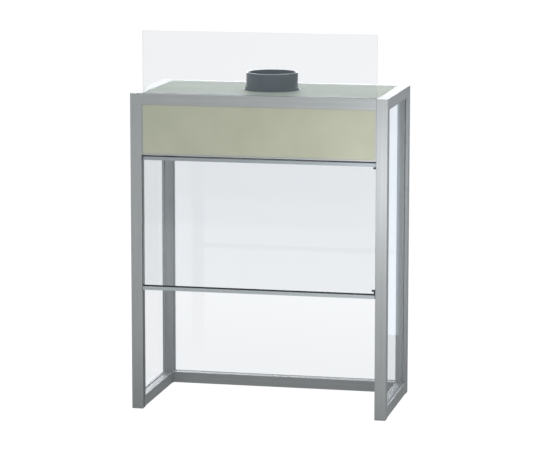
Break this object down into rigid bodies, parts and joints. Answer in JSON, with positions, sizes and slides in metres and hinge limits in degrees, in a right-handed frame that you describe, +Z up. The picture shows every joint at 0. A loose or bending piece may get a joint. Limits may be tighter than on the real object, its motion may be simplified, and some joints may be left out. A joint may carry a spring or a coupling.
{
  "type": "walk-in fume hood",
  "caption": "Floor-standing fume enclosure in an aluminium frame with clear panes, an open floor, two rising sashes at the front and a round duct collar on the roof.",
  "frame": {"origin": "on the floor, under the middle of the frame", "axes": "+Z up, the front with its sashes faces -Y, +X to the right seen from the front"},
  "size_m": [1.5, 0.78, 2.21],
  "materials": {
    "aluminium": "extruded, satin",
    "clear_sheet": "clear rigid PVC sheet",
    "rigid_sheet": "beige-grey rigid PVC sheet",
    "grey_pipe": "dark grey rigid PVC pipe",
    "rubber": "extruded, matt",
    "black_nylon": "moulded, matt",
    "steel": "turned, bright"
  },
  "bodies": {
    "frame": {"back_bottom_rail": "aluminium", "back_gasket": "rubber", "back_left_post": "aluminium", "back_pane": "clear_sheet", "back_right_post": "aluminium", "back_top_rail": "aluminium", "collar_flange": "grey_pipe", "corner_keys": "steel", "corner_spigots": "aluminium", "duct_collar": "grey_pipe", "fascia_bottom_trim": "aluminium", "fascia_left_trim": "aluminium", "fascia_panel": "rigid_sheet", "fascia_right_trim": "aluminium", "foot_pads": "black_nylon", "front_header": "aluminium", "front_left_post": "aluminium", "front_right_post": "aluminium", "left_bottom_rail": "aluminium", "left_front_liner": "black_nylon", "left_gasket": "rubber", "left_pane": "clear_sheet", "left_rear_liner": "black_nylon", "left_top_rail": "aluminium", "lower_sash_buffers": "black_nylon", "post_caps": "aluminium", "right_bottom_rail": "aluminium", "right_front_liner": "black_nylon", "right_gasket": "rubber", "right_pane": "clear_sheet", "right_rear_liner": "black_nylon", "right_top_rail": "aluminium", "roof_ledges": "aluminium", "roof_panel": "rigid_sheet", "roof_seal": "rubber", "slot_header": "aluminium", "upper_sash_stops": "black_nylon"},
    "upper_sash": {"upper_sash_gasket": "rubber", "upper_sash_left_shoe": "black_nylon", "upper_sash_pane": "clear_sheet", "upper_sash_rail": "aluminium", "upper_sash_right_shoe": "black_nylon"},
    "lower_sash": {"lower_sash_gasket": "rubber", "lower_sash_left_shoe": "black_nylon", "lower_sash_pane": "clear_sheet", "lower_sash_rail": "aluminium", "lower_sash_right_shoe": "black_nylon"},
    "upper_sash_lock": {"upper_sash_lock_screw": "black_nylon"},
    "lower_sash_lock": {"lower_sash_lock_screw": "black_nylon"}
  },
  "joints": [
    {"name": "upper_sash_slide", "type": "slide", "parent": "frame", "child": "upper_sash", "axis": [0, 0, 1], "range_m": [-0.702, 0]},
    {"name": "lower_sash_slide", "type": "slide", "parent": "frame", "child": "lower_sash", "axis": [0, 0, 1], "range_m": [-0.702, 0.714]},
    {"name": "upper_sash_lock_turn", "type": "hinge", "parent": "upper_sash", "child": "upper_sash_lock", "pos_m": [0.67, -0.3555, 1.4535], "axis": [-1, 0, 0], "range_deg": [0, 360]},
    {"name": "lower_sash_lock_turn", "type": "hinge", "parent": "lower_sash", "child": "lower_sash_lock", "pos_m": [0.67, -0.381, 0.753], "axis": [-1, 0, 0], "range_deg": [0, 360]}
  ]
}
